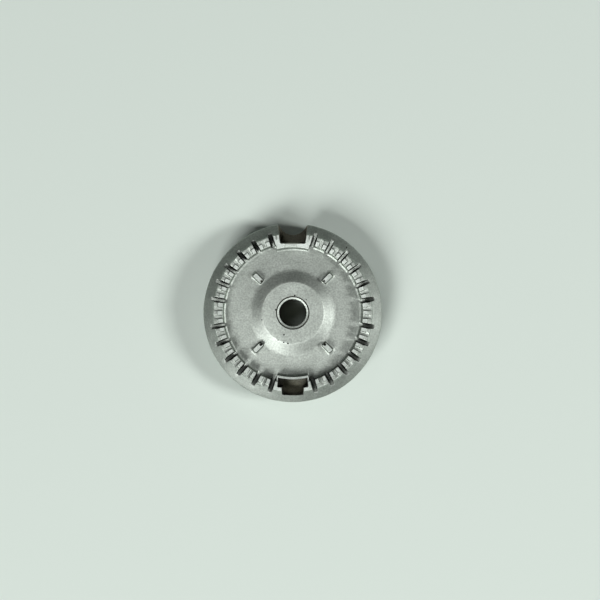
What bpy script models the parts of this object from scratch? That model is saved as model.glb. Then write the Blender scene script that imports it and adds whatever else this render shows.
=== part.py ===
"""Range burner head: one die-cast aluminium casting whose port ring is machined flat on top.

Units are metres and +Z is up. The origin is on the burner's axis at the foot of the throat tube.
The electrode notch faces +Y and the locating pocket faces -Y. Bearings are degrees clockwise from +Y.
"""

import math

import bmesh
import bpy
from mathutils import Matrix, Vector

MM = 0.001

# Facets in the full turn, in the scallop, along a short arc, in a large and a small fillet and in a chamfer
SEGMENTS = 80
BITE_STEPS = 48
ARC_STEPS = 6
LARGE_STEPS = 3
SMALL_STEPS = 2
CHAMFER_STEPS = 1

# Heights
OVERALL_HEIGHT = 22.0 * MM
RING_HEIGHT = 6.5 * MM
RING_STAND = 3.2 * MM
DISH_RISE = 0.9 * MM
BOSS_HEIGHT = 3.4 * MM
FLANGE_DROP = 4.0 * MM
FLOOR_THICKNESS = 2.5 * MM
SKIRT_LIFT = 5.0 * MM

# Radii and widths of the turned body, seen from above
THROAT_RADIUS = 6.85 * MM
LIP_WIDTH = 0.9 * MM
LIP_DROP = 0.2 * MM
LIP_SLOPE = 0.4 * MM
GROOVE_WIDTH = 0.6 * MM
GROOVE_DEPTH = 0.7 * MM
TUBE_WALL = 3.0 * MM
BOSS_RADIUS = 15.35 * MM
CONE_WIDTH = 5.65 * MM
RING_OUTER_RADIUS = 39.2 * MM
RING_WIDTH = 4.2 * MM
FLANGE_WIDTH = 5.5 * MM
SKIRT_WALL = 2.2 * MM

# Drafts: how far a cast wall leans from its top to its foot
TUBE_DRAFT = 0.8 * MM
RING_INNER_DRAFT = 0.5 * MM
RING_OUTER_DRAFT = 0.3 * MM
SKIRT_DRAFT = 0.8 * MM

# Fillets and chamfers
THROAT_CHAMFER = 0.4 * MM
BOSS_FILLET = 0.8 * MM
CONE_FILLET = 7.0 * MM
DISH_FILLET = 1.3 * MM
RING_FOOT_FILLET = 0.4 * MM
RIM_FILLET = 1.0 * MM
SKIRT_FILLET = 0.6 * MM
HOLLOW_FILLET = 1.5 * MM

# Burner ports: slots between the merlons, channels across the merlons, and the outer step.
# Their widths are those at the ring's top, and their sides lean in by the draft angles.
SLOT_WIDTH = 2.6 * MM
SLOT_RISE = math.radians(15)
SLOT_DRAFT = math.radians(4.5)
SLOT_REACH = 1.0 * MM
SLOTS_PER_QUARTER = 6
WIDE_MERLON_WIDTH = 10.2 * MM
NARROW_MERLON_WIDTH = 2.48 * MM
CHANNEL_WIDTH = 2.15 * MM
CHANNEL_DEPTH = 1.4 * MM
CHANNEL_RISE = math.radians(8)
CHANNEL_DRAFT = math.radians(15)
CENTRE_LAND_WIDTH = 1.9 * MM
STEP_WIDTH = 2.0 * MM
STEP_DEPTH = 0.65 * MM
STEP_RISE = math.radians(3)
STEP_DRAFT = 0.3 * MM

# Locating posts for the cap
POST_COUNT = 4
POST_FIRST_BEARING = 45.0
POST_RADIUS = 24.4 * MM
POST_LENGTH = 6.0 * MM
POST_WIDTH = 3.0 * MM
POST_HEIGHT = 3.2 * MM
POST_DRAFT = 0.5 * MM
POST_CORNER = 0.7 * MM

# Electrode notch, its ledge with the scalloped bite, and the ignition wall behind it
NOTCH_WIDTH_AT_RIM = 15.6 * MM
NOTCH_WIDTH_INSIDE = 12.8 * MM
NOTCH_REACH = 0.9 * MM
NOTCH_DRAFT = 0.7 * MM
NOTCH_CORNER = 0.75 * MM
NOTCH_FLARE = 2.0 * MM
LEDGE_THICKNESS = 2.5 * MM
LEDGE_SETBACK = 0.5 * MM
BITE_RADIUS = 7.5 * MM
BITE_OFFSET = 1.9 * MM
IGNITION_WALL_WIDTH = 1.4 * MM
IGNITION_PORT_WIDTH = 6.5 * MM
IGNITION_PORT_DEPTH = 0.8 * MM
IGNITION_PORT_FALL = 0.6 * MM
IGNITION_PORT_BEARING = -1.8
NICK_WIDTH = 0.8 * MM
NICK_DEPTH = 0.6 * MM

# Locating pocket, T-shaped from above, and the thin arc wall inside it
POCKET_REACH = 3.0 * MM
POCKET_WALL_WIDTH = 0.8 * MM
POCKET_END_WALL = 0.4 * MM
POCKET_END_TAPER = 0.45 * MM
POCKET_STEM_WIDTH = 11.3 * MM
POCKET_BAR_DEPTH = 4.3 * MM
POCKET_STEM_DEPTH = 4.4 * MM
POCKET_DEPTH = 13.0 * MM
POCKET_DRAFT = 0.8 * MM
POCKET_CORNER = 0.6 * MM
RELIEF_WIDTH = 1.1 * MM
RELIEF_DEPTH = 1.6 * MM

# Walls of the two housings that hang under the dish
HOUSING_WALL = 1.9 * MM

# Allowances: how far a joined form runs into the body, a tool runs past it, and two faces keep apart
EMBED = 0.5 * MM
OVERCUT = 2.0 * MM
FACE_GAP = 0.05 * MM

# Heights above the foot that follow from the sizes
RING_TOP = OVERALL_HEIGHT
DISH_Z = RING_TOP - RING_HEIGHT
BOSS_Z = DISH_Z + BOSS_HEIGHT
LIP_Z = BOSS_Z - LIP_DROP
GROOVE_Z = BOSS_Z - GROOVE_DEPTH
FLANGE_Z = RING_TOP - RING_STAND
RIM_Z = FLANGE_Z - FLANGE_DROP
UNDERSIDE_Z = DISH_Z - FLOOR_THICKNESS
LEDGE_Z = SKIRT_LIFT + LEDGE_SETBACK + LEDGE_THICKNESS
POCKET_FLOOR_Z = RING_TOP - POCKET_DEPTH

# Radii that follow from the sizes
LIP_RADIUS = THROAT_RADIUS + LIP_WIDTH
GROOVE_RADIUS = LIP_RADIUS + GROOVE_WIDTH
CONE_FOOT_RADIUS = BOSS_RADIUS + CONE_WIDTH
RING_INNER_RADIUS = RING_OUTER_RADIUS - RING_WIDTH
RING_MIDDLE_RADIUS = RING_OUTER_RADIUS - RING_WIDTH / 2
RING_FOOT_RADIUS = RING_INNER_RADIUS - RING_INNER_DRAFT
STEP_RADIUS = RING_OUTER_RADIUS - STEP_WIDTH
FLANGE_RADIUS = RING_OUTER_RADIUS + FLANGE_WIDTH
SKIRT_FOOT_RADIUS = FLANGE_RADIUS - SKIRT_DRAFT
TUBE_FOOT_RADIUS = THROAT_RADIUS + TUBE_WALL
NOTCH_INNER_RADIUS = RING_INNER_RADIUS - NOTCH_REACH
IGNITION_WALL_RADIUS = NOTCH_INNER_RADIUS - IGNITION_WALL_WIDTH
BITE_CENTRE_RADIUS = FLANGE_RADIUS + BITE_OFFSET
POCKET_WALL_RADIUS = RING_INNER_RADIUS - POCKET_REACH
POCKET_INNER_RADIUS = POCKET_WALL_RADIUS + POCKET_WALL_WIDTH
POCKET_BAR_RADIUS = POCKET_INNER_RADIUS + POCKET_BAR_DEPTH
POCKET_OUTER_RADIUS = POCKET_BAR_RADIUS + POCKET_STEM_DEPTH


def dish_height(radius):
    """The dish rises evenly from the ring's foot to the foot of the cone."""
    share = (RING_FOOT_RADIUS - radius) / (RING_FOOT_RADIUS - CONE_FOOT_RADIUS)
    return DISH_Z + DISH_RISE * share


def degrees_across(width):
    """The angle that a width covers at the middle of the port ring."""
    return math.degrees(width / RING_MIDDLE_RADIUS)


# Port bearings that follow from the sizes, counted from the sides (90 and 270) or from the notch
NOTCH_OPENING = (NOTCH_WIDTH_AT_RIM - NOTCH_WIDTH_INSIDE) / 2
NOTCH_LENGTH = FLANGE_RADIUS - NOTCH_INNER_RADIUS
RING_IN_NOTCH = RING_MIDDLE_RADIUS - NOTCH_INNER_RADIUS
NOTCH_HALF_AT_RING = NOTCH_WIDTH_INSIDE / 2 + NOTCH_OPENING * RING_IN_NOTCH / NOTCH_LENGTH
FIRST_SLOT = degrees_across((WIDE_MERLON_WIDTH + SLOT_WIDTH) / 2)
END_SLOT = degrees_across(NOTCH_HALF_AT_RING + NARROW_MERLON_WIDTH + SLOT_WIDTH / 2)
SLOT_PITCH = (90 - FIRST_SLOT - END_SLOT) / (SLOTS_PER_QUARTER - 1)
WIDE_CHANNEL = degrees_across((CENTRE_LAND_WIDTH + CHANNEL_WIDTH) / 2)


def rounded_outline(corners):
    """Closed outline from corners (x, y, fillet radius, arc steps). A radius of 0 keeps the corner."""
    points = []
    for index, (x, y, radius, steps) in enumerate(corners):
        corner = Vector((x, y))
        if radius == 0:
            points.append(corner)
            continue
        before = (Vector(corners[index - 1][:2]) - corner).normalized()
        after = (Vector(corners[(index + 1) % len(corners)][:2]) - corner).normalized()
        half_angle = before.angle(after) / 2
        centre = corner + (before + after).normalized() * radius / math.sin(half_angle)
        start = corner + before * radius / math.tan(half_angle) - centre
        turn = math.pi - 2 * half_angle
        if before.x * after.y - before.y * after.x > 0:
            turn = -turn
        for step in range(steps + 1):
            angle = turn * step / steps
            points.append(centre + Matrix.Rotation(angle, 2) @ start)
    return points


def arc_corners(radius, from_x, to_x, side):
    """Corners along an arc about the axis, on the +Y or -Y side of it."""
    corners = []
    for step in range(ARC_STEPS + 1):
        x = from_x + (to_x - from_x) * step / ARC_STEPS
        corners.append((x, side * math.sqrt(radius**2 - x**2), 0, 0))
    return corners


def new_object(name, bm, hidden):
    """Makes an object from a bmesh, with its faces pointing out."""
    bmesh.ops.recalc_face_normals(bm, faces=bm.faces)
    mesh = bpy.data.meshes.new(name)
    bm.to_mesh(mesh)
    bm.free()
    obj = bpy.data.objects.new(name, mesh)
    bpy.context.scene.collection.objects.link(obj)
    if hidden:
        obj.hide_render = True
        obj.display_type = "WIRE"
    return obj


def turned(name, outline, hidden=True):
    """Spins a closed (radius, height) outline through a full turn."""
    bm = bmesh.new()
    verts = [bm.verts.new((radius, 0, height)) for radius, height in outline]
    edges = [bm.edges.new((verts[i - 1], verts[i])) for i in range(len(verts))]
    bmesh.ops.spin(
        bm,
        geom=verts + edges,
        cent=(0, 0, 0),
        axis=(0, 0, 1),
        angle=math.tau,
        steps=SEGMENTS,
        use_merge=True,
    )
    return new_object(name, bm, hidden)


def turned_sector(name, outline, bearing, half_sweep):
    """Spins a closed (radius, height) outline through part of a turn, centred on a bearing."""
    bm = bmesh.new()
    start = math.radians(90 - bearing - half_sweep)
    verts = []
    for radius, height in outline:
        verts.append(bm.verts.new((radius * math.cos(start), radius * math.sin(start), height)))
    face = bm.faces.new(verts)
    steps = max(2, round(2 * half_sweep * SEGMENTS / 360))
    bmesh.ops.spin(
        bm,
        geom=[face],
        cent=(0, 0, 0),
        axis=(0, 0, 1),
        angle=math.radians(2 * half_sweep),
        steps=steps,
    )
    return new_object(name, bm, True)


def lofted(name, lower, low_z, upper, high_z, bearings=(90,), radius=0.0):
    """Joins two outlines of equal length by straight walls, with a copy at each bearing and radius.

    At the bearing of 90 a copy lies as drawn, because its own X axis points away from the burner's axis.
    """
    bm = bmesh.new()
    for bearing in bearings:
        low_face = bm.faces.new([bm.verts.new((x + radius, y, low_z)) for x, y in lower])
        high_face = bm.faces.new([bm.verts.new((x + radius, y, high_z)) for x, y in upper])
        bmesh.ops.bridge_loops(bm, edges=list(low_face.edges) + list(high_face.edges))
        verts = list(low_face.verts) + list(high_face.verts)
        turn = Matrix.Rotation(math.radians(90 - bearing), 3, "Z")
        bmesh.ops.rotate(bm, verts=verts, cent=(0, 0, 0), matrix=turn)
    return new_object(name, bm, True)


def radial_prisms(name, outline, width, bearings, draft=0.0):
    """Makes a prism from a (radius, height) outline across its radius, once at each bearing.

    The width is the one at the ring's top, and below it the sides lean in by the draft angle.
    """
    bm = bmesh.new()
    lean = math.tan(draft)
    for bearing in bearings:
        sides = []
        for sign in (-1, 1):
            verts = []
            for radius, height in outline:
                y = sign * (width / 2 - lean * (RING_TOP - height))
                verts.append(bm.verts.new((radius, y, height)))
            sides.append(bm.faces.new(verts))
        edges = list(sides[0].edges) + list(sides[1].edges)
        bmesh.ops.bridge_loops(bm, edges=edges)
        verts = list(sides[0].verts) + list(sides[1].verts)
        turn = Matrix.Rotation(math.radians(90 - bearing), 3, "Z")
        bmesh.ops.rotate(bm, verts=verts, cent=(0, 0, 0), matrix=turn)
    return new_object(name, bm, True)


def boolean(body, tool, operation):
    modifier = body.modifiers.new(tool.name, "BOOLEAN")
    modifier.object = tool
    modifier.operation = operation
    modifier.solver = "EXACT"


def slot_bearings():
    bearings = []
    for side in (90, 270):
        for index in range(SLOTS_PER_QUARTER):
            offset = FIRST_SLOT + SLOT_PITCH * index
            bearings += [side - offset, side + offset]
    return bearings


def channel_bearings():
    """One channel in the middle of each merlon, and two in the wide merlons at the sides."""
    bearings = []
    for side in (90, 270):
        bearings += [side - WIDE_CHANNEL, side + WIDE_CHANNEL]
        for index in range(SLOTS_PER_QUARTER - 1):
            offset = FIRST_SLOT + SLOT_PITCH * (index + 0.5)
            bearings += [side - offset, side + offset]
    return bearings


def turned_body():
    """The section of the casting: throat, boss, dish, ring, flange, skirt, hollow and tube."""
    raw_top = RING_TOP + EMBED
    ring_outer_foot = RING_OUTER_RADIUS + RING_OUTER_DRAFT
    skirt_inner_foot = SKIRT_FOOT_RADIUS - SKIRT_WALL
    corners = [
        (THROAT_RADIUS, 0, THROAT_CHAMFER, CHAMFER_STEPS),
        (THROAT_RADIUS, LIP_Z - LIP_SLOPE, 0, 0),
        (LIP_RADIUS, LIP_Z, 0, 0),
        (LIP_RADIUS, GROOVE_Z, 0, 0),
        (GROOVE_RADIUS, GROOVE_Z, 0, 0),
        (GROOVE_RADIUS, BOSS_Z, 0, 0),
        (BOSS_RADIUS, BOSS_Z, BOSS_FILLET, SMALL_STEPS),
        (CONE_FOOT_RADIUS, dish_height(CONE_FOOT_RADIUS), CONE_FILLET, LARGE_STEPS),
        (RING_FOOT_RADIUS, DISH_Z, DISH_FILLET, SMALL_STEPS),
        (RING_INNER_RADIUS, raw_top, 0, 0),
        (RING_OUTER_RADIUS, raw_top, 0, 0),
        (ring_outer_foot, FLANGE_Z, RING_FOOT_FILLET, CHAMFER_STEPS),
        (FLANGE_RADIUS, RIM_Z, RIM_FILLET, LARGE_STEPS),
        (SKIRT_FOOT_RADIUS, SKIRT_LIFT, SKIRT_FILLET, SMALL_STEPS),
        (skirt_inner_foot, SKIRT_LIFT, SKIRT_FILLET, SMALL_STEPS),
        (skirt_inner_foot - SKIRT_DRAFT, UNDERSIDE_Z, HOLLOW_FILLET, SMALL_STEPS),
        (TUBE_FOOT_RADIUS + TUBE_DRAFT, UNDERSIDE_Z, HOLLOW_FILLET, SMALL_STEPS),
        (TUBE_FOOT_RADIUS, 0, THROAT_CHAMFER, CHAMFER_STEPS),
    ]
    return turned("burner_head", rounded_outline(corners), hidden=False)


def raised_wall(name, bearing, radius):
    """A wall that stands on the dish inside the ring, ending beside the slots at its two ends."""
    raw_top = RING_TOP + EMBED
    foot_radius = radius - RING_INNER_DRAFT
    inner_radius = foot_radius - DISH_FILLET - EMBED
    outer_radius = RING_INNER_RADIUS + EMBED
    corners = [
        (inner_radius, DISH_Z - EMBED, 0, 0),
        (inner_radius, dish_height(inner_radius) - FACE_GAP, 0, 0),
        (foot_radius, dish_height(foot_radius) - FACE_GAP, DISH_FILLET, SMALL_STEPS),
        (radius, raw_top, 0, 0),
        (outer_radius, raw_top, 0, 0),
        (outer_radius, DISH_Z - EMBED, 0, 0),
    ]
    beside_slot = (SLOT_WIDTH / 2 + FACE_GAP) / inner_radius
    half_sweep = END_SLOT - math.degrees(math.asin(beside_slot))
    return turned_sector(name, rounded_outline(corners), bearing, half_sweep)


def housing(name, side, half_width, inner_radius, low_z):
    """A block under the dish that walls in the notch or the pocket and runs into the skirt."""
    skirt_middle = SKIRT_FOOT_RADIUS - SKIRT_WALL / 2
    inner = arc_corners(inner_radius, -half_width, half_width, side)
    outer = arc_corners(skirt_middle, half_width, -half_width, side)
    outline = [corner[:2] for corner in inner + outer]
    return lofted(name, outline, low_z, outline, UNDERSIDE_Z + EMBED)


def posts():
    """Four drafted posts with rounded ends, long axis pointing at the burner's axis."""

    def outline(shrink):
        x = POST_LENGTH / 2 - shrink
        y = POST_WIDTH / 2 - shrink
        corner = POST_CORNER - shrink / 2
        signs = ((-1, -1), (1, -1), (1, 1), (-1, 1))
        return rounded_outline([(x * a, y * b, corner, LARGE_STEPS) for a, b in signs])

    bearings = [POST_FIRST_BEARING + 360 / POST_COUNT * i for i in range(POST_COUNT)]
    foot_z = dish_height(POST_RADIUS)
    return lofted(
        "post_forms",
        outline(0),
        foot_z - EMBED,
        outline(POST_DRAFT),
        foot_z + POST_HEIGHT,
        bearings,
        POST_RADIUS,
    )


def slots():
    """The slot floor leaves the dish at the ring's foot and rises outward until it meets the flange."""
    floor = DISH_Z + FACE_GAP
    inner = RING_FOOT_RADIUS - SLOT_REACH
    outer = FLANGE_RADIUS + OVERCUT
    outline = [
        (inner, floor),
        (RING_FOOT_RADIUS, floor),
        (outer, floor + (outer - RING_FOOT_RADIUS) * math.tan(SLOT_RISE)),
        (outer, RING_TOP + OVERCUT),
        (inner, RING_TOP + OVERCUT),
    ]
    return radial_prisms("slot_cutters", outline, SLOT_WIDTH, slot_bearings(), SLOT_DRAFT)


def channels():
    inner = RING_INNER_RADIUS - OVERCUT / 2
    outer = RING_OUTER_RADIUS + OVERCUT
    floor = RING_TOP - CHANNEL_DEPTH
    outline = [
        (inner, floor - (RING_INNER_RADIUS - inner) * math.tan(CHANNEL_RISE)),
        (outer, floor + (outer - RING_INNER_RADIUS) * math.tan(CHANNEL_RISE)),
        (outer, RING_TOP + OVERCUT),
        (inner, RING_TOP + OVERCUT),
    ]
    bearings = channel_bearings()
    return radial_prisms("channel_cutters", outline, CHANNEL_WIDTH, bearings, CHANNEL_DRAFT)


def outer_step(name, bearing):
    """The lower outer half of the merlons, between the slots beside the notch and the pocket."""
    outer = RING_OUTER_RADIUS + OVERCUT
    floor = RING_TOP - STEP_DEPTH
    outline = [
        (STEP_RADIUS + STEP_DRAFT, floor),
        (outer, floor + (outer - STEP_RADIUS) * math.tan(STEP_RISE)),
        (outer, RING_TOP + OVERCUT),
        (STEP_RADIUS, RING_TOP + OVERCUT),
        (STEP_RADIUS, RING_TOP),
    ]
    return turned_sector(name, outline, bearing, 90 - END_SLOT)


def notch():
    """The electrode notch: straight sides that open outward and flare where they cross the rim."""

    def outline(shrink):
        inside = NOTCH_WIDTH_INSIDE / 2 - shrink
        at_rim = NOTCH_WIDTH_AT_RIM / 2 - shrink
        rim_y = math.sqrt(FLANGE_RADIUS**2 - at_rim**2)
        beyond = FLANGE_RADIUS + OVERCUT
        right = [
            (inside, NOTCH_INNER_RADIUS + 2 * shrink, NOTCH_CORNER, LARGE_STEPS),
            (at_rim, rim_y, NOTCH_CORNER, LARGE_STEPS),
            (at_rim + NOTCH_FLARE, rim_y + NOTCH_CORNER, 0, 0),
            (at_rim + NOTCH_FLARE, beyond, 0, 0),
        ]
        left = [(-x, y, radius, steps) for x, y, radius, steps in reversed(right)]
        return rounded_outline(right + left)

    return lofted("notch_cutter", outline(NOTCH_DRAFT), LEDGE_Z, outline(0), RING_TOP + OVERCUT)


def bite():
    """The scallop through the ledge that clears the electrode."""
    outline = []
    for step in range(BITE_STEPS):
        angle = math.tau * step / BITE_STEPS
        x = BITE_RADIUS * math.cos(angle)
        y = BITE_RADIUS * math.sin(angle) + BITE_CENTRE_RADIUS
        outline.append((x, y))
    return lofted("bite_cutter", outline, SKIRT_LIFT - OVERCUT, outline, LEDGE_Z + OVERCUT)


def ignition_port():
    """The shallow channel across the top of the ignition wall, which falls toward the dish."""
    outline = [
        (IGNITION_WALL_RADIUS - OVERCUT, RING_TOP - IGNITION_PORT_DEPTH - IGNITION_PORT_FALL),
        (NOTCH_INNER_RADIUS, RING_TOP - IGNITION_PORT_DEPTH),
        (NOTCH_INNER_RADIUS + OVERCUT, RING_TOP - IGNITION_PORT_DEPTH),
        (NOTCH_INNER_RADIUS + OVERCUT, RING_TOP + OVERCUT),
        (IGNITION_WALL_RADIUS - OVERCUT, RING_TOP + OVERCUT),
    ]
    bearings = [IGNITION_PORT_BEARING]
    return radial_prisms("ignition_port_cutter", outline, IGNITION_PORT_WIDTH, bearings)


def nicks():
    """A small V in the outer edge of each narrow merlon beside the notch."""
    offset = END_SLOT - degrees_across((SLOT_WIDTH + NARROW_MERLON_WIDTH) / 2)
    outer = RING_OUTER_RADIUS + OVERCUT
    top = RING_TOP + OVERCUT
    outline = [
        (STEP_RADIUS, RING_TOP - NICK_DEPTH / 2),
        (outer, RING_TOP - NICK_DEPTH),
        (outer, top),
        (STEP_RADIUS, top),
    ]
    return radial_prisms("nick_cutters", outline, NICK_WIDTH, [-offset, offset])


def pocket_bar_half():
    """Half the pocket's bar, which leaves a thin wall between its end and the slot beside it."""
    beside = math.radians(END_SLOT)
    to_slot = (SLOT_WIDTH / 2 + POCKET_END_WALL) / math.cos(beside)
    return POCKET_INNER_RADIUS * math.sin(beside) - to_slot


def pocket():
    """The T-shaped locating pocket, with drafted walls and a bar that widens outward."""

    def outline(shrink):
        bar = pocket_bar_half() - shrink
        shoulder_half = bar + POCKET_END_TAPER
        stem = POCKET_STEM_WIDTH / 2 - shrink
        inner = arc_corners(POCKET_INNER_RADIUS + shrink, -bar, bar, -1)
        outer = arc_corners(POCKET_OUTER_RADIUS - shrink, stem, -stem, -1)
        shoulder = POCKET_BAR_RADIUS - shrink
        right = [(x, -shoulder, POCKET_CORNER, LARGE_STEPS) for x in (shoulder_half, stem)]
        left = [(-x, y, radius, steps) for x, y, radius, steps in reversed(right)]
        return rounded_outline(inner + right + outer + left)

    return lofted(
        "pocket_cutter", outline(POCKET_DRAFT), POCKET_FLOOR_Z, outline(0), RING_TOP + OVERCUT
    )


def reliefs():
    """The low gap in the thin wall between each end of the pocket and the slot beside it."""
    inner = POCKET_INNER_RADIUS + RELIEF_WIDTH
    offset = math.degrees(math.asin((pocket_bar_half() + SLOT_WIDTH / 4) / inner))
    bearings = [180 - offset, 180 + offset]
    outline = [
        (inner, RING_TOP - RELIEF_DEPTH),
        (inner + RELIEF_WIDTH, RING_TOP - RELIEF_DEPTH),
        (inner + RELIEF_WIDTH, RING_TOP + OVERCUT),
        (inner, RING_TOP + OVERCUT),
    ]
    return radial_prisms("relief_cutters", outline, SLOT_WIDTH, bearings)


def machining():
    """The flat cut that leaves the bright tops of the port ring."""
    reach = FLANGE_RADIUS + OVERCUT
    square = [(-reach, -reach), (reach, -reach), (reach, reach), (-reach, reach)]
    return lofted("machining_cutter", square, RING_TOP, square, RING_TOP + 2 * OVERCUT)


def cast_aluminium():
    material = bpy.data.materials.new("cast_aluminium")
    material.use_nodes = True
    shader = material.node_tree.nodes["Principled BSDF"]
    shader.inputs["Base Color"].default_value = (0.50, 0.52, 0.49, 1)
    shader.inputs["Metallic"].default_value = 1.0
    shader.inputs["Roughness"].default_value = 0.42
    return material


def bake_modifiers(body):
    """Replaces the body's mesh by the machined result and removes the tool objects."""
    graph = bpy.context.evaluated_depsgraph_get()
    finished = bpy.data.meshes.new_from_object(body.evaluated_get(graph))
    tools = [modifier.object for modifier in body.modifiers]
    body.modifiers.clear()
    body.data = finished
    for tool in tools:
        bpy.data.objects.remove(tool)


def build_burner_head():
    body = turned_body()
    notch_half = NOTCH_WIDTH_AT_RIM / 2 + HOUSING_WALL
    pocket_half = pocket_bar_half() + POCKET_END_TAPER + HOUSING_WALL
    added = [
        raised_wall("ignition_wall", 0, IGNITION_WALL_RADIUS),
        raised_wall("pocket_wall", 180, POCKET_WALL_RADIUS),
        housing(
            "notch_housing",
            1,
            notch_half,
            NOTCH_INNER_RADIUS - HOUSING_WALL,
            SKIRT_LIFT + LEDGE_SETBACK,
        ),
        housing(
            "pocket_housing",
            -1,
            pocket_half,
            POCKET_INNER_RADIUS - HOUSING_WALL,
            POCKET_FLOOR_Z - HOUSING_WALL,
        ),
        posts(),
    ]
    removed = [
        machining(),
        slots(),
        channels(),
        outer_step("right_step_cutter", 90),
        outer_step("left_step_cutter", 270),
        notch(),
        bite(),
        ignition_port(),
        nicks(),
        pocket(),
        reliefs(),
    ]
    for tool in added:
        boolean(body, tool, "UNION")
    for tool in removed:
        boolean(body, tool, "DIFFERENCE")
    bake_modifiers(body)
    body.data.materials.clear()
    body.data.materials.append(cast_aluminium())
    body.data.shade_smooth()
    body.data.set_sharp_from_angle(angle=math.radians(25))
    return body


for leftover in list(bpy.data.objects):
    bpy.data.objects.remove(leftover)
build_burner_head()
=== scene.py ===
import math

import bmesh
import bpy
from mathutils import Matrix, Vector


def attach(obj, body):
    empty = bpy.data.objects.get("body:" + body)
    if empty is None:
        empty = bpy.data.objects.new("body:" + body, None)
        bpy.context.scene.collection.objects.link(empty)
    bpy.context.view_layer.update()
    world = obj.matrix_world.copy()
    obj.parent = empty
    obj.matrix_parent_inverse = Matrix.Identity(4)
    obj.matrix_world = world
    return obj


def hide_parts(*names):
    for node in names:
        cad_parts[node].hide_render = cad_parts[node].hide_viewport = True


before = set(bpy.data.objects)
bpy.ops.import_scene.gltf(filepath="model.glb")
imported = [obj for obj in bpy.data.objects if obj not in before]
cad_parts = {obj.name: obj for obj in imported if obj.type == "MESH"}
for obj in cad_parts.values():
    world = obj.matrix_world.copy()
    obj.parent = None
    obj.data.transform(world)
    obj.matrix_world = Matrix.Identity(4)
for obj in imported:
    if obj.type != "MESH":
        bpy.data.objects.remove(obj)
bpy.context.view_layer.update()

mm = 0.001
tiny = 0.001  # mm, too little to show

# The head is built in millimetres and scaled to metres at the end.
# Bearings are degrees clockwise from the notch (+Y).
head = {
    "turnSteps": 240,
    "filletStep": 0.22,      # longest facet on a fillet
    "ringTop": 22.0,         # heights above the foot of the tube
    "dish": 15.5,            # at the ring's foot
    "dishAtCone": 16.4,
    "boss": 18.9,
    "lip": 18.7,             # the throat's lip slopes inward from this height
    "lipInside": 18.4,
    "grooveFloor": 18.2,
    "flangeAtRing": 18.8,
    "rim": 14.8,
    "underside": 13.0,
    "skirtFoot": 5.0,
    "throatRadius": 6.85,    # radii and widths seen from above
    "lipRadius": 7.75,
    "grooveRadius": 8.35,
    "bossRadius": 15.35,
    "coneFootRadius": 21.0,
    "ringInnerRadius": 35.0,
    "ringOuterRadius": 39.2,
    "rimRadius": 44.7,
    "skirtFootRadius": 43.9,
    "skirtWall": 2.2,
    "tubeFootRadius": 9.8,
    "tubeDraft": 0.8,        # drafts
    "ringInnerDraft": 0.5,
    "ringOuterDraft": 0.3,
    "skirtDraft": 0.8,
    "tubeFootFillet": 0.4,   # fillets
    "bossFillet": 0.8,
    "coneFootFillet": 7.0,
    "dishFillet": 1.3,
    "ringFootFillet": 0.4,
    "rimFillet": 1.0,
    "skirtFootFillet": 0.6,
    "hollowFillet": 1.5,
    "topLean": 6.0,          # degrees by which the ground tops fall toward the dish
    "machiningStock": 0.5,   # extra metal on the raw casting, cut away from the tops and the throat
    "clearance": 1.0,        # how far the tools for the boss and the throat stand past the metal
    "lipToolInner": 2.0,     # anywhere inside the throat
    "grooveOverlap": 0.02,
    "cutterSegments": 160,
}


def dishHeight(radius):
    # the dish rises evenly from the ring's foot to the cone's foot
    ringFoot = head["ringInnerRadius"] - head["ringInnerDraft"]
    share = (ringFoot - radius) / (ringFoot - head["coneFootRadius"])
    return head["dish"] + (head["dishAtCone"] - head["dish"]) * share


def roundedOutline(corners):
    # corners are (x, y, fillet radius); a radius of 0 keeps the corner
    points = []
    for index, (x, y, radius) in enumerate(corners):
        corner = Vector((x, y))
        if radius == 0:
            points.append(corner)
            continue
        before = (Vector(corners[index - 1][:2]) - corner).normalized()
        after = (Vector(corners[(index + 1) % len(corners)][:2]) - corner).normalized()
        halfAngle = before.angle(after) / 2
        centre = corner + (before + after).normalized() * radius / math.sin(halfAngle)
        start = corner + before * radius / math.tan(halfAngle) - centre
        turn = math.pi - 2 * halfAngle
        steps = max(2, math.ceil(turn * radius / head["filletStep"]))
        if before.x * after.y - before.y * after.x > 0:
            turn = -turn
        for step in range(steps + 1):
            points.append(centre + Matrix.Rotation(turn * step / steps, 2) @ start)
    return points


def newObject(name, bm):
    # spin hands back its faces in any order, so they are sorted, and each run gives the same head
    bm.verts.index_update()
    count = len(bm.verts)
    bm.faces.sort(key=lambda face: min(v.index for v in face.verts) * count + max(v.index for v in face.verts))
    bmesh.ops.recalc_face_normals(bm, faces=bm.faces)
    mesh = bpy.data.meshes.new(name)
    bm.to_mesh(mesh)
    bm.free()
    obj = bpy.data.objects.new(name, mesh)
    bpy.context.scene.collection.objects.link(obj)
    return obj


def spunSolid(name, outlines):
    # each closed (radius, height) outline is spun through a full turn
    bm = bmesh.new()
    for outline in outlines:
        verts = [bm.verts.new((r, 0, z)) for r, z in outline]
        edges = [bm.edges.new((verts[i - 1], verts[i])) for i in range(len(verts))]
        bmesh.ops.spin(bm, geom=verts + edges, cent=(0, 0, 0), axis=(0, 0, 1), angle=math.tau,
                       steps=head["turnSteps"], use_merge=True)
    return newObject(name, bm)


def spunSector(name, outline, bearing, halfSweep):
    bm = bmesh.new()
    start = math.radians(90 - bearing - halfSweep)
    face = bm.faces.new([bm.verts.new((r * math.cos(start), r * math.sin(start), z)) for r, z in outline])
    steps = max(2, round(2 * halfSweep * head["turnSteps"] / 360))
    bmesh.ops.spin(bm, geom=[face], cent=(0, 0, 0), axis=(0, 0, 1), angle=math.radians(2 * halfSweep), steps=steps)
    return newObject(name, bm)


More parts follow.
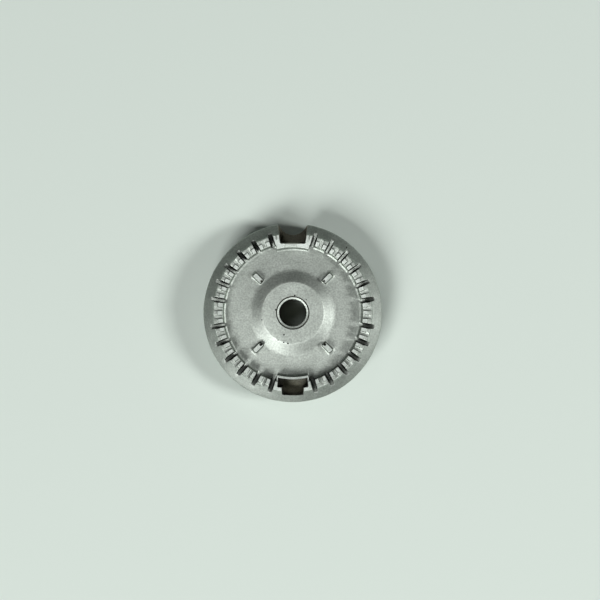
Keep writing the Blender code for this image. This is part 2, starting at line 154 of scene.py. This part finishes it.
def loftedSolid(name, levels, bearings=(90,), radius=0.0):
    # walls through (outline, height) levels from the lowest up; at the bearing of 90 a copy lies as it is drawn
    bm = bmesh.new()
    for bearing in bearings:
        loops = [[bm.verts.new((x + radius, y, z)) for x, y in outline] for outline, z in levels]
        rings = [[bm.edges.new((loop[i - 1], loop[i])) for i in range(len(loop))] for loop in loops]
        for lower, upper in zip(rings, rings[1:]):
            bmesh.ops.bridge_loops(bm, edges=lower + upper)
        for end in (loops[0], loops[-1]):
            bm.faces.new(end)
        turn = Matrix.Rotation(math.radians(90 - bearing), 3, "Z")
        bmesh.ops.rotate(bm, verts=[vert for loop in loops for vert in loop], cent=(0, 0, 0), matrix=turn)
    return newObject(name, bm)


def radialBars(name, outline, width, bearings, draft=0.0, floorRadius=0.0):
    # a (radius, height) outline made into a bar across its radius; the width is that at the ring's top, the sides
    # lean in below it by the draft, and floorRadius rounds the lower long edges
    bm = bmesh.new()
    lowest = min(z for r, z in outline)
    floorLimit = (lowest + max(z for r, z in outline)) / 2
    lean = math.tan(math.radians(draft))
    for bearing in bearings:
        sides = []
        for sign in (-1, 1):
            halfWidths = [width / 2 - lean * (head["ringTop"] - z) for r, z in outline]
            corners = [bm.verts.new((r, sign * half, z)) for (r, z), half in zip(outline, halfWidths)]
            sides.append(bm.faces.new(corners))
        bmesh.ops.bridge_loops(bm, edges=list(sides[0].edges) + list(sides[1].edges))
        verts = list(sides[0].verts) + list(sides[1].verts)
        if floorRadius:
            lowEdges = []
            for edge in dict.fromkeys(edge for vert in verts for edge in vert.link_edges):
                first, second = (vert.co for vert in edge.verts)
                alongFloor = first.y * second.y > 0 and max(first.z, second.z) < floorLimit
                if alongFloor and abs(first.x - second.x) > tiny:
                    lowEdges.append(edge)
            made = bmesh.ops.bevel(bm, geom=lowEdges, offset=floorRadius, offset_type="OFFSET", segments=3,
                                   profile=0.5, affect="EDGES", material=-1, clamp_overlap=True)
            verts = list(dict.fromkeys([vert for vert in verts if vert.is_valid] + list(made["verts"])))
        turn = Matrix.Rotation(math.radians(90 - bearing), 3, "Z")
        bmesh.ops.rotate(bm, verts=verts, cent=(0, 0, 0), matrix=turn)
    return newObject(name, bm)


def applyBooleans(body, joined, removed):
    for tools, operation in ((joined, "UNION"), (removed, "DIFFERENCE")):
        for tool in tools:
            modifier = body.modifiers.new(tool.name, "BOOLEAN")
            modifier.object = tool
            modifier.operation = operation
            modifier.solver = "EXACT"
            modifier.material_mode = "TRANSFER"
    applyModifiers(body)
    for tool in joined + removed:
        bpy.data.objects.remove(tool)


def applyModifiers(obj):
    graph = bpy.context.evaluated_depsgraph_get()
    finished = bpy.data.meshes.new_from_object(obj.evaluated_get(graph))
    obj.modifiers.clear()
    obj.data = finished


# Port ring: slots between the merlons, a channel over each merlon, and the lower outer half
ports = {
    "slotWidth": 2.6,
    "slotRise": 15,          # degrees
    "slotDraft": 4.5,
    "slotFloorRadius": 0.3,
    "footReach": 1.0,        # how far the slots are cut past the ring's foot
    "slotsPerQuarter": 6,
    "firstSlot": 9.884,      # counted from the two sides
    "endSlot": 16.334,       # counted from the notch and from the pocket
    "channelWidth": 2.15,
    "channelDepth": 1.4,
    "channelRise": 8,
    "channelDraft": 15,
    "wideChannel": 3.127,    # counted from the two sides
    "stepRadius": 37.2,
    "stepDepth": 0.65,
    "stepRise": 3,
    "stepDraft": 0.3,
    "overcut": 2.0,          # how far a cutter stands past the metal
    "faceGap": 0.05,         # keeps two faces out of one plane
}


def slotBearings():
    pitch = (90 - ports["firstSlot"] - ports["endSlot"]) / (ports["slotsPerQuarter"] - 1)
    offsets = [ports["firstSlot"] + pitch * i for i in range(ports["slotsPerQuarter"])]
    return [side + sign * offset for side in (90, 270) for sign in (-1, 1) for offset in offsets]


def channelBearings():
    pitch = (90 - ports["firstSlot"] - ports["endSlot"]) / (ports["slotsPerQuarter"] - 1)
    offsets = [ports["wideChannel"]]
    offsets += [ports["firstSlot"] + pitch * (i + 0.5) for i in range(ports["slotsPerQuarter"] - 1)]
    return [side + sign * offset for side in (90, 270) for sign in (-1, 1) for offset in offsets]


def slotCutters():
    floor = head["dish"] + ports["faceGap"]
    foot = head["ringInnerRadius"] - head["ringInnerDraft"]
    inner = foot - ports["footReach"]
    outer = head["rimRadius"] + ports["overcut"]
    top = head["ringTop"] + ports["overcut"]
    rise = (outer - foot) * math.tan(math.radians(ports["slotRise"]))
    outline = [(inner, floor), (foot, floor), (outer, floor + rise), (outer, top + rise), (inner, top + rise)]
    return radialBars("slotCutters", outline, ports["slotWidth"], slotBearings(), ports["slotDraft"],
                      ports["slotFloorRadius"])


def channelCutters():
    inner = head["ringInnerRadius"] - ports["overcut"] / 2
    outer = head["ringOuterRadius"] + ports["overcut"]
    floor = head["ringTop"] - ports["channelDepth"]
    slope = math.tan(math.radians(ports["channelRise"]))
    top = head["ringTop"] + ports["overcut"]
    outline = [
        (inner, floor - (head["ringInnerRadius"] - inner) * slope),
        (outer, floor + (outer - head["ringInnerRadius"]) * slope),
        (outer, top),
        (inner, top),
    ]
    return radialBars("channelCutters", outline, ports["channelWidth"], channelBearings(), ports["channelDraft"])


def stepCutter(name, bearing):
    outer = head["ringOuterRadius"] + ports["overcut"]
    floor = head["ringTop"] - ports["stepDepth"]
    rise = (outer - ports["stepRadius"]) * math.tan(math.radians(ports["stepRise"]))
    top = head["ringTop"] + ports["overcut"]
    outline = [
        (ports["stepRadius"] + ports["stepDraft"], floor),
        (outer, floor + rise),
        (outer, top),
        (ports["stepRadius"], top),
        (ports["stepRadius"], head["ringTop"]),
    ]
    return spunSector(name, outline, bearing, 90 - ports["endSlot"])


def turnedCasting():
    rawTop = head["ringTop"] + head["machiningStock"]
    skirtInner = head["skirtFootRadius"] - head["skirtWall"]
    rawThroat = head["throatRadius"] - head["machiningStock"]
    corners = [
        (rawThroat, 0, head["tubeFootFillet"]),
        (rawThroat, head["boss"], 0),
        (head["bossRadius"], head["boss"], head["bossFillet"]),
        (head["coneFootRadius"], head["dishAtCone"], head["coneFootFillet"]),
        (head["ringInnerRadius"] - head["ringInnerDraft"], head["dish"], head["dishFillet"]),
        (head["ringInnerRadius"], rawTop, 0),
        (head["ringOuterRadius"], rawTop, 0),
        (head["ringOuterRadius"] + head["ringOuterDraft"], head["flangeAtRing"], head["ringFootFillet"]),
        (head["rimRadius"], head["rim"], head["rimFillet"]),
        (head["skirtFootRadius"], head["skirtFoot"], head["skirtFootFillet"]),
        (skirtInner, head["skirtFoot"], head["skirtFootFillet"]),
        (skirtInner - head["skirtDraft"], head["underside"], head["hollowFillet"]),
        (head["tubeFootRadius"] + head["tubeDraft"], head["underside"], head["hollowFillet"]),
        (head["tubeFootRadius"], 0, head["tubeFootFillet"]),
    ]
    return spunSolid("burnerHead", [roundedOutline(corners)])


# Posts that locate the cap
posts = {
    "bearings": (45, 135, 225, 315),
    "radius": 24.4,
    "length": 6.0,
    "width": 3.0,
    "height": 3.2,           # above the dish beside it
    "draft": 0.5,
    "corner": 0.7,
    "footFillet": 0.5,
    "filletSteps": 6,
    "toolInner": 21.5,       # the tool that grinds the posts' tops: its radii and its upper side
    "toolOuter": 28.5,
    "toolTop": 20.5,
}


def postForms():
    def outline(shrink):
        x = posts["length"] / 2 - shrink
        y = posts["width"] / 2 - shrink
        corner = posts["corner"] - shrink / 2
        return roundedOutline([(x * a, y * b, corner) for a, b in ((-1, -1), (1, -1), (1, 1), (-1, 1))])

    stock = head["machiningStock"]
    perHeight = posts["draft"] / posts["height"]
    foot = dishHeight(posts["radius"])
    fillet = posts["footFillet"]
    levels = [(outline(-fillet), foot - stock)]
    for step in range(posts["filletSteps"]):
        turn = math.radians(90 * step / posts["filletSteps"])
        rise = fillet * (1 - math.cos(turn))
        spread = fillet * (1 - math.sin(turn))
        levels.append((outline(perHeight * rise - spread), foot + rise))
    top = posts["height"] + stock
    levels.append((outline(perHeight * top), foot + top))
    return loftedSolid("postForms", levels, posts["bearings"], posts["radius"])


# Electrode notch with its ledge, the scallop through the ledge, and the wall behind it
notch = {
    "halfWidthAtRim": 7.88,
    "halfWidthInside": 6.4,
    "innerRadius": 34.1,
    "draft": 0.7,
    "corner": 0.75,
    "flare": 2.0,
    "ledge": 8.0,
    "ledgeUnderside": 5.5,
    "biteRadius": 7.5,
    "biteCentre": 46.6,
    "biteBelow": 2.5,        # how far its cutter stands below the ledge
    "wallRadius": 32.7,
    "portWidth": 6.5,
    "portDepth": 0.8,
    "portFall": 0.6,         # toward the dish
    "portBearing": -1.8,
    "nickWidth": 0.8,
    "nickDepth": 0.6,
    "nickBearing": 12.411,
    "housingWall": 1.9,
    "overlap": 0.5,          # how far walls and housings reach into the casting
}


def arcCorners(radius, fromX, toX, side, steps=16):
    xs = [fromX + (toX - fromX) * step / steps for step in range(steps + 1)]
    return [(x, side * math.sqrt(radius ** 2 - x ** 2), 0) for x in xs]


def raisedWall(name, bearing, radius):
    rawTop = head["ringTop"] + head["machiningStock"]
    foot = radius - head["ringInnerDraft"]
    inner = foot - head["dishFillet"] - notch["overlap"]
    outer = head["ringInnerRadius"] + notch["overlap"]
    low = head["dish"] - notch["overlap"]
    gap = ports["faceGap"]
    corners = [
        (inner, low, 0),
        (inner, dishHeight(inner) - gap, 0),
        (foot, dishHeight(foot) - gap, head["dishFillet"]),
        (radius, rawTop, 0),
        (outer, rawTop, 0),
        (outer, low, 0),
    ]
    besideSlot = math.degrees(math.asin((ports["slotWidth"] / 2 + ports["faceGap"]) / inner))
    return spunSector(name, roundedOutline(corners), bearing, ports["endSlot"] - besideSlot)


def housing(name, side, halfWidth, innerRadius, lowZ):
    skirtMiddle = head["skirtFootRadius"] - head["skirtWall"] / 2
    inner = arcCorners(innerRadius, -halfWidth, halfWidth, side)
    outer = arcCorners(skirtMiddle, halfWidth, -halfWidth, side)
    outline = [corner[:2] for corner in inner + outer]
    return loftedSolid(name, [(outline, lowZ), (outline, head["underside"] + notch["overlap"])])


def notchCutter():
    def outline(shrink):
        inside = notch["halfWidthInside"] - shrink
        atRim = notch["halfWidthAtRim"] - shrink
        rimY = math.sqrt(head["rimRadius"] ** 2 - atRim ** 2)
        beyond = head["rimRadius"] + ports["overcut"]
        right = [
            (inside, notch["innerRadius"] + 2 * shrink, notch["corner"]),
            (atRim, rimY, notch["corner"]),
            (atRim + notch["flare"], rimY + notch["corner"], 0),
            (atRim + notch["flare"], beyond, 0),
        ]
        return roundedOutline(right + [(-x, y, radius) for x, y, radius in reversed(right)])

    top = head["ringTop"] + ports["overcut"]
    return loftedSolid("notchCutter", [(outline(notch["draft"]), notch["ledge"]), (outline(0), top)])


def roundCutter(name, radius, y, low, high):
    bm = bmesh.new()
    bmesh.ops.create_cone(bm, cap_ends=True, segments=head["cutterSegments"], radius1=radius, radius2=radius,
                          depth=high - low, matrix=Matrix.Translation((0, y, (low + high) / 2)))
    return newObject(name, bm)


def ignitionPort():
    floor = head["ringTop"] - notch["portDepth"]
    inner, outer = notch["wallRadius"] - ports["overcut"], notch["innerRadius"] + ports["overcut"]
    top = head["ringTop"] + ports["overcut"]
    outline = [
        (inner, floor - notch["portFall"]),
        (notch["innerRadius"], floor),
        (outer, floor),
        (outer, top),
        (inner, top),
    ]
    return radialBars("ignitionPort", outline, notch["portWidth"], [notch["portBearing"]])


def nickCutters():
    outer = head["ringOuterRadius"] + ports["overcut"]
    top = head["ringTop"] + ports["overcut"]
    outline = [
        (ports["stepRadius"], head["ringTop"] - notch["nickDepth"] / 2),
        (outer, head["ringTop"] - notch["nickDepth"]),
        (outer, top),
        (ports["stepRadius"], top),
    ]
    return radialBars("nickCutters", outline, notch["nickWidth"], [-notch["nickBearing"], notch["nickBearing"]])


# T-shaped locating pocket
pocket = {
    "wallRadius": 32.0,
    "innerRadius": 32.8,
    "barRadius": 37.1,
    "outerRadius": 41.5,
    "barHalf": 7.453,
    "endTaper": 0.45,
    "stemHalf": 5.65,
    "floor": 9.0,
    "draft": 0.8,
    "corner": 0.6,
    "reliefWidth": 1.1,
    "reliefDepth": 1.6,
}


def pocketCutter():
    def outline(shrink):
        bar = pocket["barHalf"] - shrink
        stem = pocket["stemHalf"] - shrink
        inner = arcCorners(pocket["innerRadius"] + shrink, -bar, bar, -1)
        outer = arcCorners(pocket["outerRadius"] - shrink, stem, -stem, -1)
        right = [(x, shrink - pocket["barRadius"], pocket["corner"]) for x in (bar + pocket["endTaper"], stem)]
        left = [(-x, y, radius) for x, y, radius in reversed(right)]
        return roundedOutline(inner + right + outer + left)

    top = head["ringTop"] + ports["overcut"]
    return loftedSolid("pocketCutter", [(outline(pocket["draft"]), pocket["floor"]), (outline(0), top)])


def reliefCutters():
    inner = pocket["innerRadius"] + pocket["reliefWidth"]
    outer = inner + pocket["reliefWidth"]
    offset = math.degrees(math.asin((pocket["barHalf"] + ports["slotWidth"] / 4) / inner))
    floor = head["ringTop"] - pocket["reliefDepth"]
    top = head["ringTop"] + ports["overcut"]
    outline = [(inner, floor), (outer, floor), (outer, top), (inner, top)]
    return radialBars("reliefCutters", outline, ports["slotWidth"], [180 - offset, 180 + offset])


# Small gas pores in the casting, open at the surface of the boss, the cone and the flange, and one at the inner end
# of each post
pits = {
    "spots": [  # x, y, surface height, radius
        (1.0, 8.7, 18.9, 0.45),
        (-8.5, 1.5, 18.9, 0.45),
        (6.7, 6.6, 18.9, 0.28),
        (-4.4, -10.9, 18.9, 0.45),
        (-4.5, -14.7, 18.88, 0.36),
        (-2.4, -15.2, 18.85, 0.42),
        (-15.4, -3.5, 18.8, 0.3),
        (-7.3, -13.5, 18.85, 0.3),
        (15.9, -15.7, 19.35, 0.85),
        (-15.9, -15.7, 19.35, 0.85),
        (15.6, 15.8, 19.35, 0.6),
        (-15.6, 15.8, 19.35, 0.7),
        (26.8, 32.6, 16.8, 0.42),
    ],
    "sink": 0.35,            # share of the radius by which a pore's centre lies below the surface
}


def pitCutters():
    bm = bmesh.new()
    for x, y, z, radius in pits["spots"]:
        bmesh.ops.create_icosphere(bm, subdivisions=2, radius=radius,
                                   matrix=Matrix.Translation((x, y, z - radius * pits["sink"])))
    return newObject("pitCutters", bm)


# Cast skin: a fine remesh and light smoothing round every cast edge
finish = {
    "voxel": 0.2,
    "smoothing": 0.5,
    "smoothingRepeats": 2,
    "triangles": 165000,
    "sharpAngle": 32,        # degrees
}


def castSkin(body):
    remesh = body.modifiers.new("skin", "REMESH")
    remesh.mode = "VOXEL"
    remesh.voxel_size = finish["voxel"]
    smooth = body.modifiers.new("softEdges", "SMOOTH")
    smooth.factor = finish["smoothing"]
    smooth.iterations = finish["smoothingRepeats"]
    applyModifiers(body)
    bm = bmesh.new()
    bm.from_mesh(body.data)
    bmesh.ops.triangulate(bm, faces=bm.faces)
    count = len(bm.faces)
    bm.to_mesh(body.data)
    bm.free()
    thin = body.modifiers.new("fewerTriangles", "DECIMATE")
    thin.ratio = finish["triangles"] / count
    applyModifiers(body)
    print("cast skin:", count, "triangles, thinned to", len(body.data.polygons))


def topTools():
    # one ring for the port ring's top and one for the posts
    high = head["ringTop"] + ports["overcut"]
    reach = head["rimRadius"] + ports["overcut"]
    ringTop = head["ringTop"] - tiny  # rounding then stays inside the CAD's box
    innerTop = ringTop - (ports["stepRadius"] - posts["radius"]) * math.tan(math.radians(head["topLean"]))
    postTop = dishHeight(posts["radius"]) + posts["height"]
    ringOutline = [
        (posts["radius"], innerTop),
        (ports["stepRadius"], ringTop),
        (reach, ringTop),
        (reach, high),
        (posts["radius"], high),
    ]
    postOutline = [
        (posts["toolInner"], postTop),
        (posts["toolOuter"], postTop),
        (posts["toolOuter"], posts["toolTop"]),
        (posts["toolInner"], posts["toolTop"]),
    ]
    return spunSolid("topTools", [ringOutline, postOutline])


def lipTool():
    inner, outer = head["lipToolInner"], head["lipRadius"]
    high = head["boss"] + head["clearance"]
    outline = [
        (inner, head["lipInside"]),
        (head["throatRadius"], head["lipInside"]),
        (outer, head["lip"]),
        (outer, high),
        (inner, high),
    ]
    return spunSolid("lipTool", [outline])


def grooveTool():
    inner, outer = head["lipRadius"] - head["grooveOverlap"], head["grooveRadius"]
    floor, high = head["grooveFloor"], head["boss"] + head["clearance"]
    return spunSolid("grooveTool", [[(inner, floor), (outer, floor), (outer, high), (inner, high)]])


def buildHead():
    body = turnedCasting()
    joined = [
        raisedWall("ignitionWall", 0, notch["wallRadius"]),
        raisedWall("pocketWall", 180, pocket["wallRadius"]),
        housing("notchHousing", 1, notch["halfWidthAtRim"] + notch["housingWall"],
                notch["innerRadius"] - notch["housingWall"], notch["ledgeUnderside"]),
        housing("pocketHousing", -1, pocket["barHalf"] + pocket["endTaper"] + notch["housingWall"],
                pocket["innerRadius"] - notch["housingWall"], pocket["floor"] - notch["housingWall"]),
        postForms(),
    ]
    removed = [
        slotCutters(),
        channelCutters(),
        stepCutter("rightStep", 90),
        stepCutter("leftStep", 270),
        ignitionPort(),
        nickCutters(),
        reliefCutters(),
    ]
    applyBooleans(body, joined, removed)
    print("raw casting:", len(body.data.polygons), "faces")
    castSkin(body)
    return body


def machineHead(body):
    # what a tool cuts takes the tool's material
    clearance = head["clearance"]
    biteLow, biteHigh = notch["ledgeUnderside"] - notch["biteBelow"], notch["ledge"] + ports["overcut"]
    tools = {
        topTools(): groundAluminium,
        lipTool(): castAluminium,
        # the groove, the throat and the pores are painted dark grey as painted shade
        grooveTool(): paintedShadeAluminium,
        roundCutter("throatCutter", head["throatRadius"], 0, -clearance, head["boss"] + clearance): paintedShadeAluminium,
        # the notch, its scallop and the pocket are painted a darker brownish grey as painted shade
        notchCutter(): paintedShadeBrownAluminium,
        roundCutter("biteCutter", notch["biteRadius"], notch["biteCentre"], biteLow, biteHigh): paintedShadeBrownAluminium,
        pocketCutter(): paintedShadeBrownAluminium,
        pitCutters(): paintedShadeAluminium,
    }
    for tool, material in tools.items():
        tool.data.materials.append(material)
    body.data.materials.clear()
    body.data.materials.append(castAluminium)
    applyBooleans(body, [], list(tools))
    body.data.transform(Matrix.Scale(mm, 4))
    body.data.shade_smooth()
    body.data.set_sharp_from_angle(angle=math.radians(finish["sharpAngle"]))
    print("machined head:", len(body.data.polygons), "faces")
    return body


# Materials
def hexToLinear(hexColour):
    channels = [int(hexColour[i:i + 2], 16) / 255 for i in (0, 2, 4)]
    return [c / 12.92 if c <= 0.04045 else ((c + 0.055) / 1.055) ** 2.4 for c in channels] + [1.0]


def addNode(tree, kind, settings, links):
    # settings go to the node's own properties or, where the name is an input's, to that input
    node = tree.nodes.new(kind)
    for name, value in settings.items():
        if hasattr(node, name):
            setattr(node, name, value)
        else:
            node.inputs[name].default_value = value
    for name, source in links.items():
        tree.links.new(source, node.inputs[name])
    return node


# Die-cast aluminium, blasted: a pale grey satin metal with a fine grain and faint cloudy patches. Steep walls
# and corners in a recess are painted dark as painted shade, by how open and how level the place is.
castFinish = {
    "colours": ("c2cac2", "ced6ce"),
    "paintedShadeColour": "3a3c37",
    "roughness": (0.53, 0.58),
    "grainSize": 0.8,        # mm; blasting grit leaves about 0.1 mm, drawn coarser so that it shows
    "grainDepth": 0.11,      # mm
    "speckle": 0.14,         # how far the grain's tops are paler and its hollows darker
    "cloudSize": 7.0,        # mm
}

# Ground aluminium: brighter bare metal with fine marks
groundFinish = {
    "colours": ("e2ebe3", "eff7f0"),
    "paintedShadeColour": "3a3c37",
    "roughness": (0.48, 0.54),
    "grainSize": 0.7,
    "grainDepth": 0.06,
    "speckle": 0.1,
    "cloudSize": 2.0,
}

# Painted shade: the throat, the groove and the pores are painted a dark grey metal, where they lie deep in shadow
paintedShadeFinish = {
    "colours": ("55564d", "5e5f55"),
    "paintedShadeColour": "30312c",
    "roughness": (0.52, 0.58),
    "grainSize": 0.8,
    "grainDepth": 0.08,
    "speckle": 0.12,
    "cloudSize": 4.0,
}

# Painted shade in the notch and the pocket: cast aluminium drawn a dull, darker brownish grey on the same grain,
# where these lie in shadow
paintedShadeBrownFinish = {
    "colours": ("abab9b", "b6b5a4"),
    "paintedShadeColour": "262723",
    "roughness": (0.52, 0.58),
    "grainSize": 0.8,
    "grainDepth": 0.08,
    "speckle": 0.12,
    "cloudSize": 4.0,
}

# What the noises of every finish share
noises = {
    "cloudDetail": 3.0,
    "cloudRoughness": 0.6,
    "grainDetail": 2.0,
    "spread": (0.35, 0.65),  # a noise seldom leaves this range
}

# Painted shade in recesses: ambient occlusion over this reach, plus a share for a level face, runs from fully shaded
# to unshaded
paintedRecessShade = {
    "reach": 5.0,            # mm
    "samples": 6,
    "levelShare": 0.6,
    "fullyShaded": 0.86,
    "unshaded": 1.0,
}

# Painted light and shade: a tint for each ring out from the throat, with the boss painted palest, the dish a little
# darker, the cone darker still and the flange darkest
paintedRingShading = {
    "radii": (15.0, 16.2, 20.5, 22.5, 39.0, 40.5),  # mm
    "tints": ("ffffff", "dfdfdf", "dfdfdf", "f0f0f0", "f0f0f0", "d8d8d8"),
    "widest": 50.0,          # mm, past the rim
}


def aluminium(name, finishOf):
    material = bpy.data.materials.new(name)
    material.use_nodes = True
    tree = material.node_tree
    shader = tree.nodes["Principled BSDF"]
    shader.inputs["Metallic"].default_value = 1.0
    place = addNode(tree, "ShaderNodeTexCoord", {}, {})
    cloud = addNode(tree, "ShaderNodeTexNoise",
                    {"Scale": 1 / (finishOf["cloudSize"] * mm), "Detail": noises["cloudDetail"],
                     "Roughness": noises["cloudRoughness"]},
                    {"Vector": place.outputs["Object"]})
    grain = addNode(tree, "ShaderNodeTexNoise",
                    {"Scale": 1 / (finishOf["grainSize"] * mm), "Detail": noises["grainDetail"]},
                    {"Vector": place.outputs["Object"]})
    tint = addNode(tree, "ShaderNodeValToRGB", {}, {"Fac": cloud.outputs["Fac"]})
    for element, position, colour in zip(tint.color_ramp.elements, noises["spread"], finishOf["colours"]):
        element.position = position
        element.color = hexToLinear(colour)
    # painted shade or the metal's own colour, by how open and how level the place is
    facing = addNode(tree, "ShaderNodeSeparateXYZ", {}, {"Vector": place.outputs["Normal"]})
    level = addNode(tree, "ShaderNodeMath", {"operation": "ABSOLUTE"}, {"Value": facing.outputs["Z"]})
    openness = addNode(tree, "ShaderNodeAmbientOcclusion",
                       {"Distance": paintedRecessShade["reach"] * mm, "only_local": True, "samples": paintedRecessShade["samples"]}, {})
    openAndLevel = addNode(tree, "ShaderNodeMath", {"operation": "MULTIPLY_ADD"}, {"Value": level.outputs["Value"]})
    openAndLevel.inputs[1].default_value = paintedRecessShade["levelShare"]
    tree.links.new(openness.outputs["AO"], openAndLevel.inputs[2])
    unshadedShare = addNode(tree, "ShaderNodeMapRange", {"From Min": paintedRecessShade["fullyShaded"], "From Max": paintedRecessShade["unshaded"]},
                      {"Value": openAndLevel.outputs["Value"]})
    if finishOf is not groundFinish:
        # the painted light and shade of the ring that the place is in
        flatPlace = addNode(tree, "ShaderNodeVectorMath", {"operation": "MULTIPLY"}, {})
        flatPlace.inputs[1].default_value = (1, 1, 0)
        tree.links.new(place.outputs["Object"], flatPlace.inputs[0])
        radius = addNode(tree, "ShaderNodeVectorMath", {"operation": "LENGTH"},
                         {"Vector": flatPlace.outputs["Vector"]})
        share = addNode(tree, "ShaderNodeMapRange", {"From Max": paintedRingShading["widest"] * mm},
                        {"Value": radius.outputs["Value"]})
        rings = addNode(tree, "ShaderNodeValToRGB", {}, {"Fac": share.outputs["Result"]})
        while len(rings.color_ramp.elements) < len(paintedRingShading["radii"]):
            rings.color_ramp.elements.new(0.5)
        for element, at, ringTint in zip(rings.color_ramp.elements, paintedRingShading["radii"], paintedRingShading["tints"]):
            element.position = at / paintedRingShading["widest"]
            element.color = hexToLinear(ringTint)
        tint = addNode(tree, "ShaderNodeMixRGB", {"blend_type": "MULTIPLY", "Fac": 1.0},
                       {"Color1": tint.outputs["Color"], "Color2": rings.outputs["Color"]})
    speckle = addNode(tree, "ShaderNodeMapRange",
                      {"From Min": noises["spread"][0], "From Max": noises["spread"][1],
                       "To Min": 1 - finishOf["speckle"], "To Max": 1 + finishOf["speckle"]},
                      {"Value": grain.outputs["Fac"]})
    speckled = addNode(tree, "ShaderNodeVectorMath", {"operation": "SCALE"},
                       {"Vector": tint.outputs["Color"], "Scale": speckle.outputs["Result"]})
    # the painted shade colour is mixed in where the place is closed in and steep
    colour = addNode(tree, "ShaderNodeMixRGB", {"Color1": hexToLinear(finishOf["paintedShadeColour"])},
                     {"Fac": unshadedShare.outputs["Result"], "Color2": speckled.outputs["Vector"]})
    rough = addNode(tree, "ShaderNodeMapRange",
                    {"To Min": finishOf["roughness"][0], "To Max": finishOf["roughness"][1]},
                    {"Value": cloud.outputs["Fac"]})
    bump = addNode(tree, "ShaderNodeBump", {"Strength": 1.0, "Distance": finishOf["grainDepth"] * mm},
                   {"Height": grain.outputs["Fac"]})
    tree.links.new(colour.outputs["Color"], shader.inputs["Base Color"])
    tree.links.new(rough.outputs["Result"], shader.inputs["Roughness"])
    tree.links.new(bump.outputs["Normal"], shader.inputs["Normal"])
    return material


castAluminium = aluminium("castAluminium", castFinish)
groundAluminium = aluminium("groundAluminium", groundFinish)
paintedShadeAluminium = aluminium("paintedShadeAluminium", paintedShadeFinish)
paintedShadeBrownAluminium = aluminium("paintedShadeBrownAluminium", paintedShadeBrownFinish)

# Studio: a pale matt floor, a soft light on the right, another at the lower left and a weak one at the upper left
studio = {
    "floorColour": "d3ded6",
    "floorRoughness": 0.9,
    "floorSpecular": 0.2,
    "floorSize": 3.0,
    "cameraPlace": (3.6 * mm, 6.4 * mm, 1.0),
    "frameWidth": 304.3 * mm,  # what the camera takes in at the floor
    "worldColour": "e6ebe6",
    "worldStrength": 0.01,
    "lights": {                # azimuth clockwise from +Y, elevation, distance, size, power
        "rightLight": (98, 40, 3.0, 0.75, 52),
        "leftLight": (214, 45, 3.0, 1.4, 76),
        "fillLight": (320, 60, 3.0, 0.9, 5.0),
    },
}


def buildStudio():
    scene = bpy.context.scene
    bm = bmesh.new()
    bmesh.ops.create_grid(bm, x_segments=1, y_segments=1, size=studio["floorSize"] / 2)
    floor = newObject("floor", bm)
    floorMaterial = bpy.data.materials.new("mattFloor")
    floorMaterial.use_nodes = True
    shader = floorMaterial.node_tree.nodes["Principled BSDF"]
    shader.inputs["Base Color"].default_value = hexToLinear(studio["floorColour"])
    shader.inputs["Roughness"].default_value = studio["floorRoughness"]
    shader.inputs["Specular IOR Level"].default_value = studio["floorSpecular"]
    floor.data.materials.append(floorMaterial)
    camera = bpy.data.objects.new("camera", bpy.data.cameras.new("camera"))
    scene.collection.objects.link(camera)
    camera.location = studio["cameraPlace"]
    camera.data.lens = camera.data.sensor_width * studio["cameraPlace"][2] / studio["frameWidth"]
    scene.camera = camera
    for name, (azimuth, elevation, distance, size, power) in studio["lights"].items():
        a, e = math.radians(azimuth), math.radians(elevation)
        direction = Vector((math.sin(a) * math.cos(e), math.cos(a) * math.cos(e), math.sin(e)))
        data = bpy.data.lights.new(name, "AREA")
        data.size = size
        data.energy = power
        lamp = bpy.data.objects.new(name, data)
        lamp.location = direction * distance
        lamp.rotation_euler = (-direction).to_track_quat("-Z", "Y").to_euler()
        scene.collection.objects.link(lamp)
    world = bpy.data.worlds.new("softSurround")
    world.use_nodes = True
    background = world.node_tree.nodes["Background"]
    background.inputs["Color"].default_value = hexToLinear(studio["worldColour"])
    background.inputs["Strength"].default_value = studio["worldStrength"]
    scene.world = world
    scene.view_settings.view_transform = "Standard"
    print("studio ready")


burnerHead = machineHead(buildHead())
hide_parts("burner_head")
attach(burnerHead, "root")
buildStudio()

print("done")
